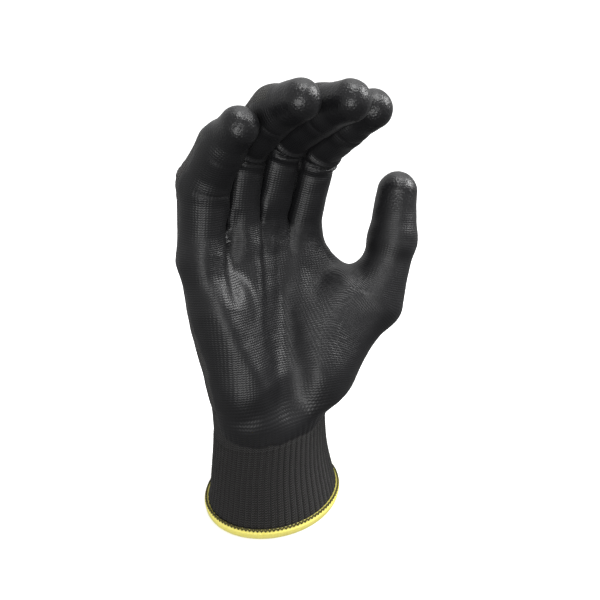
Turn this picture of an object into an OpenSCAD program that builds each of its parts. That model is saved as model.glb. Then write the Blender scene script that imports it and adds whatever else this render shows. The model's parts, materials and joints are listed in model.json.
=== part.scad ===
// Cut-resistant work glove for the right hand, size L, posed as on a relaxed hand.
// A seamless knitted liner with a dipped palm coating, a ribbed elastic cuff and an overlocked hem.
// Origin: centre of the cuff opening on the hem's lower face. +Z up the cuff, -Y the palm side, +X the thumb side.
// The knitted shell is divided at the bend lines of the hand, so that each length of it can turn.

/* [Cuff] */
// Height of the wrist bend above the hem's lower face
cuff_h = 56; // [52:1:60]
// Half width of the cuff at the hem
hem_a = 37; // [35:0.5:39]
// Half depth of the cuff at the hem
hem_b = 31; // [29:0.5:33]
// Half width of the glove at the wrist
wrist_a = 31.5; // [30.5:0.5:33]
// Half depth of the glove at the wrist
wrist_b = 23; // [22:0.5:24]
// Height of the overlocked hem band
hem_h = 5; // [4:0.5:6]
// How far the overlock thread stands proud of the knit, inside and outside
hem_proud = 0.8; // [0.5:0.1:1.2]
// Number of overlock stitches round the hem
hem_stitch_count = 44; // [30:2:48]
// Number of elastic courses laid inside the cuff
elastic_count = 6; // [3:1:7]

/* [Knit and coating] */
// Thickness of the knitted liner
knit_t = 1.1; // [0.9:0.1:1.3]
// Thickness of the dipped coating film
coat_t = 0.4; // [0.3:0.05:0.5]

/* [Hand pose] */
// Twist of the hand about the cuff's axis
palm_twist = 10; // [6:1:14]
// Backward lean of the palm at the wrist
palm_lean = 18; // [15:1:21]
// Lean of the palm to the thumb side
palm_dev = 9; // [6:1:11]

/* [Joints] */
// Clearance from each rim to its hinge axis
rim_gap = 0.4; // [0.4:0.05:0.6]
// Gap between a knuckle and the tube round it
knuckle_gap = 0.35; // [0.3:0.05:0.45]
// Distance of a finger's root bend from the knuckle joint, at the webs
root_reach = 14; // [13:0.5:15]
// Rim cut on the palm side and the back at the wrist, in degrees
wrist_cut = [14, 22]; // [14:1:24]
// Rim cut on the palm side and the back at the finger roots
root_cut = [28, 14]; // [12:1:30]
// Rim cut on the palm side and the back at the middle knuckles
pip_cut = [48, 5]; // [5:1:48]
// Rim cut on the palm side and the back at the end knuckles
dip_cut = [24, 6]; // [6:1:26]
// Rim cut on the palm side and the back at the thumb root
thumb_root_cut = [34, 2]; // [2:1:36]
// Rim cut on the palm side and the back at the thumb's end knuckle
thumb_ip_cut = [28, 8]; // [6:1:30]

/* [Hidden] */
// Sides of each tube, and the angles of its corners
sides = 20;
corner = [for (j = [0:sides - 1]) j * 360 / sides];
// Corners of the coated part of a tube, which leaves a strip of bare knit along its back
coated = [for (j = [9:21]) j * 360 / sides];
// Gap that keeps the film clear of the knit it lies on
film_gap = 0.02;

// Each finger in the palm's own frame: knuckle joint, splay, bend at each joint,
// lengths to the next joint and the tip's centre, and radii at the four points.
FINGERS = [
    ["index", [24.8, -0.4, 87.5], 0.4, [26.5, 37.6, 11.9], [44, 26, 16], [9.9, 9.9, 9.3, 8.7]],
    ["middle", [4.1, 1.5, 90.9], 0.8, [26.3, 45.3, 15.0], [48, 30, 17], [9.9, 9.8, 9.5, 8.9]],
    ["ring", [-16.0, -0.9, 88.7], -0.9, [20.2, 44.1, 18.1], [45, 28, 17], [9.8, 9.6, 9.1, 8.6]],
    ["little", [-36.3, -4.6, 81.7], -1.3, [15.5, 31.6, 16.4], [35, 21, 15], [9.4, 9.1, 8.6, 8.1]]
];
PHALANX = ["proximal", "middle", "distal"];
// The thumb's three joints and the centre of its tip, in the palm's frame, and its radii there
THUMB = [[20.5, -12.3, 20.3], [52.0, -28.7, 49.7], [59.1, -35.0, 80.4], [61.2, -38.4, 104.6]];
THUMB_R = [16, 13, 11.5, 10.3];
// Base of the hand bones behind each finger, and the radius of the flesh there
BASES = [[14, -1, 8], [4, 1, 6], [-8, 0, 6], [-18, -3, 8]];
base_r = 15;

function rot_x(a) = [[1, 0, 0], [0, cos(a), -sin(a)], [0, sin(a), cos(a)]];
function rot_y(a) = [[cos(a), 0, sin(a)], [0, 1, 0], [-sin(a), 0, cos(a)]];
function rot_z(a) = [[cos(a), -sin(a), 0], [sin(a), cos(a), 0], [0, 0, 1]];
function unit(v) = v / norm(v);
function mix(a, b, u) = a + (b - a) * u;
// A frame whose X axis is the hinge and whose Z axis runs along a bone
function bone_frame(x, z) = let (y = cross(z, x)) [[x[0], y[0], z[0]], [x[1], y[1], z[1]], [x[2], y[2], z[2]]];

palm_rot = rot_z(palm_twist) * rot_x(-palm_lean) * rot_y(palm_dev);
wrist = [0, 0, cuff_h];
wrist_frame = palm_rot * rot_x(palm_lean);

module place(r, p) {
    multmatrix([for (i = [0:2]) [r[i][0], r[i][1], r[i][2], p[i]]]) children();
}
module in_palm() place(palm_rot, wrist) children();

// Frame of phalanx k of a finger, and the place of the joint it starts at, both in the palm's frame
function finger_frame(f, k) = rot_y(f[2]) * rot_x(k == 0 ? f[3][0] : k == 1 ? f[3][0] + f[3][1]
    : f[3][0] + f[3][1] + f[3][2]);
function along(f, k) = finger_frame(f, k) * [0, 0, 1];
function finger_joint(f, k) = k == 0 ? f[1] + along(f, 0) * root_reach
    : k == 1 ? f[1] + along(f, 0) * f[4][0]
    : finger_joint(f, 1) + along(f, 1) * f[4][1];
thumb_axis = unit(cross(THUMB[1] - THUMB[0], THUMB[3] - THUMB[0]));
function thumb_frame(k) = bone_frame(thumb_axis, unit(THUMB[k + 1] - THUMB[k]));

// Rings of a tube: at each corner angle the height can differ, so a rim is cut to a shallow V
function ring(r, z, at = corner) = [for (j = [0:len(at) - 1]) [r * cos(at[j]), r * sin(at[j]), z[j]]];
function level(z, at = corner) = [for (a = at) z];
function low_rim(r, cut, at = corner) =
    [for (a = at) rim_gap + r * abs(sin(a)) * tan(sin(a) < 0 ? cut[0] : cut[1])];
function high_rim(l, r, cut, at = corner) = [for (z = low_rim(r, cut, at)) l - z];
function knuckle_r(r) = (r - coat_t - film_gap - knit_t) * cos(180 / sides) - knuckle_gap;

// A wall between an outer and an inner stack of rings, open at both ends or closed by a dome
module shell(outer, inner, domes = []) {
    n = len(outer[0]);
    no = len(outer);
    ni = len(inner);
    skip = no * n;
    pole = (no + ni) * n;
    function wall(base, rows, flip) = [
        for (i = [0:rows - 2], j = [0:n - 1])
            let (a = base + i * n + j, b = base + i * n + (j + 1) % n, c = b + n, d = a + n)
            each flip ? [[a, b, c], [a, c, d]] : [[a, c, b], [a, d, c]]
    ];
    low = [for (j = [0:n - 1]) let (k = (j + 1) % n) each [[j, k, skip + k], [j, skip + k, skip + j]]];
    ot = (no - 1) * n;
    it = skip + (ni - 1) * n;
    high = [
        for (j = [0:n - 1]) let (k = (j + 1) % n)
            each len(domes) == 0 ? [[ot + j, it + k, ot + k], [ot + j, it + j, it + k]]
                : [[ot + j, pole, ot + k], [it + j, it + k, pole + 1]]
    ];
    polyhedron(concat([for (r = outer) each r], [for (r = inner) each r], domes),
        concat(wall(0, no, false), wall(skip, ni, true), low, high));
}

// A film between an outer and an inner stack of open arcs
module film(outer, inner) {
    n = len(outer[0]);
    rows = len(outer);
    skip = rows * n;
    function sheet(base, flip) = [
        for (i = [0:rows - 2], j = [0:n - 2])
            let (a = base + i * n + j, b = a + 1, c = b + n, d = a + n)
            each flip ? [[a, b, c], [a, c, d]] : [[a, c, b], [a, d, c]]
    ];
    top = (rows - 1) * n;
    ends = [
        for (j = [0:n - 2])
            each [[j, j + 1, skip + j + 1], [j, skip + j + 1, skip + j],
                [top + j, skip + top + j + 1, top + j + 1], [top + j, skip + top + j, skip + top + j + 1]]
    ];
    edges = [
        for (i = [0:rows - 2])
            let (a = i * n, b = a + n - 1)
            each [[a, skip + a, skip + a + n], [a, skip + a + n, a + n],
                [b, skip + b + n, skip + b], [b, b + n, skip + b + n]]
    ];
    polyhedron(concat([for (r = outer) each r], [for (r = inner) each r]),
        concat(sheet(0, false), sheet(skip, true), ends, edges));
}

// Knitted tube of one phalanx: a hollow knuckle that turns inside the tube before it, then its own wall
module phalanx_liner(l, r0, r1, cut0, cut1, tip = false) {
    skin0 = r0 - coat_t - film_gap;
    skin1 = r1 - coat_t - film_gap;
    rk = knuckle_r(r0);
    start = low_rim(skin0, cut0);
    end = tip ? level(l) : high_rim(l, skin1, cut1);
    half = mix(start, end, 0.5);
    dome = tip ? [30, 60] : [];
    outer = concat(
        [for (a = [40, 65, 90]) ring(rk * sin(a), level(-rk * cos(a)))],
        [ring(rk, start), ring(skin0, start), ring(mix(skin0, skin1, 0.5), half), ring(skin1, end)],
        [for (a = dome) ring(skin1 * cos(a), level(l + skin1 * sin(a)))]
    );
    ik = rk - knit_t;
    i0 = mix(skin0, skin1, 0.5) - knit_t;
    i1 = skin1 - knit_t;
    inner = concat(
        [for (a = [40, 65, 90]) ring(ik * sin(a), level(-ik * cos(a)))],
        [ring(ik, start), ring(i0, half), ring(i1, end)],
        [for (a = dome) ring(i1 * cos(a), level(l + i1 * sin(a)))]
    );
    shell(outer, inner, tip ? [[0, 0, l + skin1], [0, 0, l + i1]] : []);
}

// Coating on the palm side of one phalanx
module phalanx_coating(l, r0, r1, cut0, cut1) {
    start = low_rim(r0, cut0, coated);
    end = high_rim(l, r1, cut1, coated);
    half = mix(start, end, 0.5);
    rm = mix(r0, r1, 0.5);
    film([ring(r0, start, coated), ring(rm, half, coated), ring(r1, end, coated)],
        [ring(r0 - coat_t, start, coated), ring(rm - coat_t, half, coated), ring(r1 - coat_t, end, coated)]);
}

// Coating of a fingertip, which wraps right over the end and runs down the palm side
module tip_coating(l, r0, r1, cut0) {
    start = [for (a = corner) sin(a) > 0.4 ? l * 0.92 : max(rim_gap + r0 * abs(sin(a)) * tan(cut0[0]),
        l * 0.92 * max(0, (sin(a) + 0.5) / 0.9))];
    end = level(l);
    half = mix(start, end, 0.5);
    rm = mix(r0, r1, 0.5);
    function stack(less) = concat(
        [ring(r0 - less, start), ring(rm - less, half), ring(r1 - less, end)],
        [for (a = [30, 60]) ring((r1 - less) * cos(a), level(l + (r1 - less) * sin(a)))]
    );
    shell(stack(0), stack(coat_t), [[0, 0, l + r1], [0, 0, l + r1 - coat_t]]);
}

// Draws one segment of a finger or the thumb where its bone lies
module segment(kind, l, r0, r1, cut0, cut1, tip) {
    if (kind == "liner") color("dimgray") phalanx_liner(l, r0, r1, cut0, cut1, tip);
    else if (tip) color("black") tip_coating(l, r0, r1, cut0);
    else color("black") phalanx_coating(l, r0, r1, cut0, cut1);
}
module finger_segment(f, k, kind) {
    cuts = [root_cut, pip_cut, dip_cut, dip_cut];
    reach = k == 0 ? root_reach : 0;
    in_palm() place(finger_frame(f, k), finger_joint(f, k))
        segment(kind, f[4][k] - reach, f[5][k], f[5][k + 1], cuts[k], cuts[k + 1], k == 2);
}
module thumb_segment(k, kind) {
    cuts = [thumb_root_cut, thumb_ip_cut, thumb_ip_cut];
    in_palm() place(thumb_frame(k + 1), THUMB[k + 1])
        segment(kind, norm(THUMB[k + 2] - THUMB[k + 1]), THUMB_R[k + 1], THUMB_R[k + 2], cuts[k], cuts[k + 1],
            k == 1);
}

// Oval cuff: its half sizes and turn at a height, and its rings
function cuff_u(z) = min(1, max(0, z / cuff_h));
function cuff_ease(z) = let (u = cuff_u(z)) 1 - pow(1 - u, 2.2);
cuff_sides = 40;
cuff_corner = [for (j = [0:cuff_sides - 1]) j * 360 / cuff_sides];
function cuff_point(a, z, off, zr = undef) =
    let (e = cuff_ease(z), t = palm_twist * cuff_u(z), x = (mix(hem_a, wrist_a, e) + off) * cos(a),
        y = (mix(hem_b, wrist_b, e) + off) * sin(a))
    [x * cos(t) - y * sin(t), x * sin(t) + y * cos(t), is_undef(zr) ? z : zr];
function cuff_ring(z, off) = [for (a = cuff_corner) cuff_point(a, z, off)];
// Height of the cuff's top rim: the lower of two planes through the wrist hinge
function rim_height(p) = min([for (s = [0, 1])
    let (n = wrist_frame * rot_x(s == 0 ? wrist_cut[0] : -wrist_cut[1]) * [0, 0, 1])
    cuff_h - (rim_gap + n[0] * p[0] + n[1] * p[1]) / n[2]]);
function cuff_rim(off) = [for (a = cuff_corner)
    let (zr = rim_height(cuff_point(a, cuff_h, 0))) cuff_point(a, cuff_h, off, zr)];
// Heights of the cuff's rings below its cut rim
cuff_levels = [for (u = [0, 0.15, 0.32, 0.52, 0.72]) mix(1.2, cuff_h * 0.92, u)];

module cuff_liner() {
    color("dimgray") shell(
        concat([for (z = cuff_levels) cuff_ring(z, -0.5)], [cuff_rim(0)]),
        concat([for (z = cuff_levels) cuff_ring(z, -0.5 - knit_t)], [cuff_rim(-knit_t)])
    );
}

// Covered elastic yarn laid in courses against the inside of the rib
module cuff_elastic() {
    color("gainsboro") for (i = [0:elastic_count - 1]) {
        z = hem_h + 4 + i * 4.2;
        inside = -0.5 - knit_t - 0.08;
        shell([cuff_ring(z, inside), cuff_ring(z + 0.9, inside)],
            [cuff_ring(z, inside - 0.5), cuff_ring(z + 0.9, inside - 0.5)]);
    }
}

// Overlock thread that wraps the raw edge of the cuff inside and out
module hem_binding() {
    out = -0.5 + 0.06;
    in = -0.5 - knit_t - 0.06;
    top = hem_h;
    color("gold") shell(
        [cuff_ring(0, out + hem_proud * 0.6), cuff_ring(hem_h * 0.3, out + hem_proud),
            cuff_ring(hem_h * 0.8, out + hem_proud), cuff_ring(top, out + hem_proud * 0.4),
            cuff_ring(top, out), cuff_ring(1.1, out)],
        [cuff_ring(0, in - hem_proud * 0.6), cuff_ring(hem_h * 0.3, in - hem_proud),
            cuff_ring(hem_h * 0.8, in - hem_proud), cuff_ring(top, in - hem_proud * 0.4),
            cuff_ring(top, in), cuff_ring(1.1, in)]
    );
}

// Looped heads of the needle thread along the hem's upper edge
module hem_stitches() {
    color("khaki") for (i = [0:hem_stitch_count - 1]) {
        a = i * 360 / hem_stitch_count;
        p = cuff_point(a, hem_h + 0.9, -0.38);
        q = cuff_point(a + 0.5, hem_h + 0.9, -0.38);
        translate(p) rotate([0, 0, atan2(q[1] - p[1], q[0] - p[0])])
            translate([-0.9, -0.55, -0.75]) cube([1.8, 0.5, 1.5]);
    }
}

// Flesh outline of the hand inside the palm, grown by off
module ball(p, r) translate(p) sphere(r, $fn = 14);
module wrist_oval(z, off, h) translate([0, 0, z]) linear_extrude(h)
    scale([wrist_a + off, wrist_b + off]) circle(1, $fn = 32);
module palm_body(off, stub_off) {
    hull() {
        wrist_oval(0, off, 3);
        for (b = BASES) ball(b + [0, 0, 12], base_r + off);
    }
    for (i = [0:2]) hull() for (k = [i, i + 1]) {
        ball(BASES[k] + [0, 0, 12], base_r + off);
        ball(FINGERS[k][1] - [0, 0, 4], FINGERS[k][5][0] + 1 + off);
    }
    for (f = FINGERS) {
        hull() {
            ball(f[1], f[5][0] + 0.4 + off);
            ball(f[1] - [0, 0, 14], f[5][0] + 1.5 + off);
        }
        place(finger_frame(f, 0), f[1]) hull() for (z = [0, root_reach - 0.2])
            translate([0, 0, z]) cylinder(0.2, r = f[5][0] + stub_off, $fn = sides);
    }
    hull() {
        ball(THUMB[0], THUMB_R[0] + off);
        wrist_oval(4, off - 2, 2);
        ball(BASES[0] + [0, 0, 14], base_r - 2 + off);
    }
    place(thumb_frame(0), THUMB[1]) hull() {
        translate([0, 0, -0.2]) cylinder(0.2, r = THUMB_R[1] + stub_off, $fn = sides);
        ball([0, 0, -norm(THUMB[1] - THUMB[0])], THUMB_R[0] - 0.5 + off);
    }
    hull() {
        ball(mix(THUMB[0], THUMB[1], 0.45), 12.5 + off);
        ball(BASES[0] + [2, 0, 30], base_r - 3 + off);
        ball(FINGERS[0][1] - [0, 0, 12], FINGERS[0][5][0] + off);
    }
}

// Wedge that trims a tube beyond its hinge: rim slopes on the palm side and the back
module trim(cut, reach, half_w, up = 1) {
    rotate([0, 0, up > 0 ? 0 : 180]) mirror([0, 0, up > 0 ? 0 : 1]) rotate([90, 0, 90])
        translate([0, 0, -half_w]) linear_extrude(2 * half_w) polygon([
            [0, -rim_gap], [reach, -rim_gap - reach * tan(up > 0 ? cut[1] : cut[0])], [reach, reach],
            [-reach, reach], [-reach, -rim_gap - reach * tan(up > 0 ? cut[0] : cut[1])]
        ]);
}
module palm_trims() {
    for (f = FINGERS) place(finger_frame(f, 0), finger_joint(f, 0)) trim(root_cut, 14, f[5][0] + 0.1);
    place(thumb_frame(0), THUMB[1]) trim(thumb_root_cut, 20, 20);
    trim(wrist_cut, 40, 60, -1);
}
// Passages that leave the palm open at the finger roots, the thumb and the wrist
module palm_passages() {
    less = coat_t + film_gap + knit_t;
    for (f = FINGERS) place(finger_frame(f, 0), f[1]) cylinder(root_reach + 6, r = f[5][0] - less, $fn = sides);
    place(thumb_frame(0), THUMB[1]) translate([0, 0, -12]) cylinder(20, r = THUMB_R[1] - less, $fn = sides);
}

module palm_liner() {
    less = coat_t + film_gap;
    ka = wrist_a - knit_t - 0.9;
    kb = wrist_b - knit_t - 0.9;
    color("dimgray") in_palm() {
        difference() {
            palm_body(-less, -less);
            palm_body(-less - knit_t, -less - knit_t);
            palm_trims();
            palm_passages();
            translate([0, 0, -1]) scale([ka - knit_t, kb - knit_t, 1]) cylinder(6, r = 1, $fn = 40);
        }
        // Oval knuckle that turns inside the top of the cuff
        difference() {
            union() {
                scale([ka, kb, kb]) sphere(1, $fn = 40);
                hull() for (z = [0, 13]) translate([0, 0, z]) scale([ka, kb, 1]) cylinder(0.2, r = 1, $fn = 40);
            }
            scale([ka - knit_t, kb - knit_t, kb - knit_t]) sphere(1, $fn = 40);
            translate([0, 0, -1]) scale([ka - knit_t, kb - knit_t, 1]) cylinder(30, r = 1, $fn = 40);
            translate([-50, -50, -100 - kb * 0.7]) cube(100);
            translate([-50, -50, 13]) cube(100);
        }
    }
}

module palm_coating() {
    color("black") in_palm() difference() {
        palm_body(0, 0);
        palm_body(-coat_t, -coat_t);
        palm_trims();
        palm_passages();
        translate([-60, 1, -20]) cube([120, 60, 160]);
        // The film ends in a shallow arc above the wrist
        translate([0, -40, -6]) rotate([-90, 0, 0]) scale([2.2, 1, 1]) cylinder(60, r = 18, $fn = 48);
    }
}

hem_binding();
hem_stitches();
cuff_liner();
cuff_elastic();
palm_liner();
palm_coating();
for (f = FINGERS, k = [0:2], kind = ["liner", "coating"])
    finger_segment(f, k, kind);
for (k = [0, 1], kind = ["liner", "coating"])
    thumb_segment(k, kind);
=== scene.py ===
"""A knitted work glove, right hand: black knit, satin coating over the palm and fingers,
ribbed elastic cuff and a yellow overlocked hem."""
import json
import math

import bmesh
import bpy
import numpy as np
import openvdb
from mathutils import Matrix, Vector, noise


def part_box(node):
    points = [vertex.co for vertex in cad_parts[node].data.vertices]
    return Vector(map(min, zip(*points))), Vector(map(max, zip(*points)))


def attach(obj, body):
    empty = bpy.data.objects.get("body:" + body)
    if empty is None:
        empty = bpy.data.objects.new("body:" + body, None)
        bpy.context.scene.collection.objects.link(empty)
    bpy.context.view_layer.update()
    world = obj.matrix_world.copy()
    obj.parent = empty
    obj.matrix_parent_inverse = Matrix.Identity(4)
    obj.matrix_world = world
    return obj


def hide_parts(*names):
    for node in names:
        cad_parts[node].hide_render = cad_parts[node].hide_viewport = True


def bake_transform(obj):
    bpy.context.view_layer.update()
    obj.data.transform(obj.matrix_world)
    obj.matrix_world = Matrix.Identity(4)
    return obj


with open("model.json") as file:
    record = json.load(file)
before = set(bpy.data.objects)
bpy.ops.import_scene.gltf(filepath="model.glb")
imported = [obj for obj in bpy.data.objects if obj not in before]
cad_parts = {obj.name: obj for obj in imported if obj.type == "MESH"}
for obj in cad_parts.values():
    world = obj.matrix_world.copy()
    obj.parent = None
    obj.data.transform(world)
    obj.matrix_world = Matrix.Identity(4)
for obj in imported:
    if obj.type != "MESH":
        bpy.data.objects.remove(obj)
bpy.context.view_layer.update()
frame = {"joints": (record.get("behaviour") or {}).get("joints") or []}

# ---------------------------------------------------------------------------
# Camera. It looks down at the palm from the little finger's side.
LOOK_AT = Vector((0.0633, 0.0709, 0.0696))
AZIMUTH, ELEVATION, ROLL = math.radians(-34), math.radians(28), math.radians(1)
right = Vector((math.cos(AZIMUTH), math.sin(AZIMUTH), 0))
away = Vector((-math.sin(AZIMUTH) * math.cos(ELEVATION),
               math.cos(AZIMUTH) * math.cos(ELEVATION), -math.sin(ELEVATION)))
up = right.cross(away)
right, up = (right * math.cos(ROLL) + up * math.sin(ROLL),
             up * math.cos(ROLL) - right * math.sin(ROLL))
camera = bpy.data.objects.new("camera", bpy.data.cameras.new("camera"))
camera.data.lens = 43.98
camera.data.clip_start = 0.01
turn = Matrix((right, up, -away)).transposed().to_4x4()
camera.matrix_world = Matrix.Translation(LOOK_AT - away * 0.45) @ turn
bpy.context.scene.collection.objects.link(camera)
bpy.context.scene.camera = camera

# ---------------------------------------------------------------------------
# Floor and studio light: a pale sheet that fades into a white room, a big soft lamp high on
# the thumb's side, one above, and one low at the front on the little finger's side.
def linear(hex_colour):
    """A node colour from an sRGB hex value."""
    parts = [int(hex_colour[i:i + 2], 16) / 255 for i in (1, 3, 5)]
    return [p / 12.92 if p <= 0.04045 else ((p + 0.055) / 1.055) ** 2.4 for p in parts] + [1.0]


def add(tree, kind, settings=None, inputs=None):
    """Adds one node. Settings are its own properties, inputs are values or sockets."""
    made = tree.nodes.new(kind)
    for name, value in (settings or {}).items():
        setattr(made, name, value)
    for name, value in (inputs or {}).items():
        if isinstance(value, bpy.types.NodeSocket):
            tree.links.new(value, made.inputs[name])
        else:
            made.inputs[name].default_value = value
    return made


def new_material(name):
    """An empty node material with its Principled shader already on the output."""
    material = bpy.data.materials.new(name)
    material.use_nodes = True
    tree = material.node_tree
    tree.nodes.clear()
    shader = add(tree, "ShaderNodeBsdfPrincipled")
    add(tree, "ShaderNodeOutputMaterial", None, {"Surface": shader.outputs[0]})
    return material, tree, shader


painted_floor, tree, shader = new_material("painted_studio_floor")
grain = add(tree, "ShaderNodeTexNoise", None, {"Scale": 6.0, "Detail": 2.0})
shade = add(tree, "ShaderNodeMix", {"data_type": "RGBA"},
            {0: grain.outputs[0], 6: linear("#f4f4f4"), 7: linear("#f9f9f9")})
tree.links.new(shade.outputs[2], shader.inputs["Base Color"])
shader.inputs["Roughness"].default_value = 0.9
shader.inputs["Emission Color"].default_value = (1, 1, 1, 1)
shader.inputs["Emission Strength"].default_value = 0.4

floor_mesh = bpy.data.meshes.new("studio_floor")
floor_mesh.from_pydata([(-12, -12, 0), (12, -12, 0), (12, 12, 0), (-12, 12, 0)], [], [(0, 1, 2, 3)])
floor_mesh.materials.append(painted_floor)
floor = bpy.data.objects.new("studio_floor", floor_mesh)
bpy.context.scene.collection.objects.link(floor)
# only the camera sees the sheet: it throws no light up at the glove and isn't mirrored in the film
floor.visible_diffuse = floor.visible_glossy = False

world = bpy.data.worlds.new("studio_room")
bpy.context.scene.world = world
world.use_nodes = True
room = world.node_tree
# the room is dim in front of the glove and bright behind it, where white screens stand
ray = add(room, "ShaderNodeTexCoord")
ways = add(room, "ShaderNodeSeparateXYZ", None, {0: ray.outputs["Generated"]})
depth = add(room, "ShaderNodeMapRange", None, {0: ways.outputs[1], 1: -0.35, 2: 0.7, 3: 0.42,
                                               4: 0.75})
height_dim = add(room, "ShaderNodeMapRange", None,
                 {0: ways.outputs[2], 1: -0.6, 2: 0.2, 3: 0.35, 4: 1.0})
dimmed = add(room, "ShaderNodeMath", {"operation": "MULTIPLY"},
             {0: depth.outputs[0], 1: height_dim.outputs[0]})
tone = add(room, "ShaderNodeCombineXYZ", None, {k: dimmed.outputs[0] for k in range(3)})
room.links.new(tone.outputs[0], room.nodes["Background"].inputs[0])
bpy.context.scene.view_settings.view_transform = "Standard"

for name, place, size, power in (("key_lamp", (0.75, -0.26, 0.66), (0.38, 0.46), 9.0),
                                 ("top_lamp", (0.10, -0.15, 1.0), (0.4, 0.4), 5.0),
                                 ("front_lamp", (-0.56, -0.80, 0.24), (0.62, 0.5), 6.0)):
    lamp = bpy.data.objects.new(name, bpy.data.lights.new(name, "AREA"))
    lamp.data.shape, lamp.data.energy = "RECTANGLE", power
    lamp.data.size, lamp.data.size_y = size
    lamp.location = place
    lamp.rotation_euler = (Vector((0.01, 0,
                                   0.12)) - lamp.location).to_track_quat("-Z", "Y").to_euler()
    bpy.context.scene.collection.objects.link(lamp)
daylight = bpy.data.objects.new("ceiling_light", bpy.data.lights.new("ceiling_light", "SUN"))
daylight.data.energy, daylight.data.angle = 1.0, math.radians(60)
daylight.rotation_euler = (math.radians(-14), math.radians(22), 0)
bpy.context.scene.collection.objects.link(daylight)

# ---------------------------------------------------------------------------
# Shape of the hand inside the glove. The knit is stretched over a hand, so its surface is
# worked out from the hand's bones: a round of flesh on each bone, run together smoothly.
# All of this is in millimetres; the joints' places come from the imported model.
joint = {j["name"]: j for j in frame["joints"]}
TWIST, LEAN, DEVIATION = math.radians(10), math.radians(-18), math.radians(9)
WRIST = np.array(joint["wrist_bend"]["pos_m"]) * 1000
PALM_TURN = np.array(Matrix.Rotation(TWIST, 3, "Z") @ Matrix.Rotation(LEAN, 3, "X")
                     @ Matrix.Rotation(DEVIATION, 3, "Y"))
# from the knuckle to the hinge where the finger leaves the palm
ROOT_REACH = 14.0
CUFF_HALF, WRIST_HALF = np.array((37.0, 31.0)), np.array((31.5, 23.0))
CUFF_TOP = 56.0
# the drawn-in part of the cuff sits a little off the hem's middle
CUFF_LEAN = np.array((-1.1, 0.7))


def from_palm(points):
    """Points in the palm's own frame, as points in the model's frame."""
    return np.asarray(points, float) @ PALM_TURN.T + WRIST


def to_palm(points):
    return (points - WRIST) @ PALM_TURN


def unit(v):
    return v / np.linalg.norm(v)


def smoothstep(low, high, value):
    t = np.clip((value - low) / (high - low), 0, 1)
    return t * t * (3 - 2 * t)


def smooth_min(a, b, k):
    h = np.clip(0.5 + 0.5 * (b - a) / k, 0, 1)
    return b + (a - b) * h - k * h * (1 - h)


def capsule(points, a, b, radius_a, radius_b):
    """Distance to a round bone from a to b."""
    a, b = np.asarray(a, float), np.asarray(b, float)
    along = b - a
    t = np.clip((points - a) @ along / (along @ along), 0, 1)
    gap = points - a - t[:, None] * along
    return np.sqrt(np.einsum("ij,ij->i", gap, gap)) - (radius_a + (radius_b - radius_a) * t)


class Digit:
    """A finger or thumb: its bones, and how far along and round them a point lies."""

    def __init__(self, name, corners, bends, radii, palmward, wales, knuckle_out=0.0):
        self.name, self.corners, self.radii, self.wales = name, corners, radii, wales
        self.knuckle_out = knuckle_out
        self.lengths = [np.linalg.norm(b - a) for a, b in zip(corners, corners[1:])]
        # centre line with its corners rounded, so that rows of knit turn smoothly at the knuckles
        line = [corners[0]]
        for before, at, after, bend in zip(corners, corners[1:], corners[2:], bends):
            reach = min(15 * math.tan(math.radians(max(bend, 4)) / 2), 7.5)
            a, b = at + unit(before - at) * reach, at + unit(after - at) * reach
            line += [(1 - t) ** 2 * a + 2 * t * (1 - t) * at + t * t * b
                     for t in np.linspace(0, 1, 9)]
        line.append(corners[-1] + unit(corners[-1] - corners[-2]) * 12)
        fine = [line[0]]
        for a, b in zip(line, line[1:]):
            steps = max(1, int(np.linalg.norm(b - a) / 0.8))
            fine += [a + (b - a) * (i + 1) / steps for i in range(steps)]
        self.line = np.array(fine)
        self.tangent = np.gradient(self.line, axis=0)
        self.tangent /= np.linalg.norm(self.tangent, axis=1)[:, None]
        self.run = np.concatenate([[0], np.cumsum(np.linalg.norm(np.diff(self.line, axis=0),
                                                                 axis=1))])
        self.palmward = palmward

    def field(self, points, first=0):
        d = None
        for i in range(first, 3):
            part = capsule(points, self.corners[i], self.corners[i + 1], self.radii[i],
                           self.radii[i + 1])
            d = part if d is None else smooth_min(d, part, 3.5)
        if self.knuckle_out:
            back = self.palmward * self.knuckle_out
            a, b, c = (self.corners[0] * 0.65 + self.corners[1] * 0.35 - back,
                       self.corners[1] - back,
                       self.corners[2] - back * 0.3)
            d = smooth_min(d, capsule(points, a, b, self.radii[1] - 0.5, self.radii[1] - 0.5), 4)
            d = smooth_min(d, capsule(points, b, c, self.radii[1] - 0.5, self.radii[2] - 0.2), 4)
        return d

    def place(self, points):
        """(run along the centre line, angle round it with 0 on the palm side)."""
        run, angle = np.empty(len(points)), np.empty(len(points))
        for first in range(0, len(points), 4000):
            p = points[first:first + 4000]
            gap = p[:, None, :] - self.line[None]
            near = np.argmin(np.einsum("ijk,ijk->ij", gap, gap), axis=1)
            t = self.tangent[near]
            off = p - self.line[near]
            along = np.einsum("ij,ij->i", off, t)
            run[first:first + 4000] = self.run[near] + np.clip(along, -40, 1)
            front = self.palmward - t * (t @ self.palmward)[:, None]
            front /= np.linalg.norm(front, axis=1)[:, None]
            side = np.cross(front, t)
            angle[first:first + 4000] = np.arctan2(np.einsum("ij,ij->i", off, side),
                                                   np.einsum("ij,ij->i", off, front))
        return run, angle

    def point(self, run):
        """A point of the centre line at that run."""
        return np.array([np.interp(run, self.run, self.line[:, k]) for k in range(3)])


def hinge(name):
    return np.array(joint[name]["pos_m"]) * 1000


def turned(v, axis, degrees):
    return np.array(Matrix.Rotation(math.radians(degrees), 3, Vector(axis)) @ Vector(v))


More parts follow.
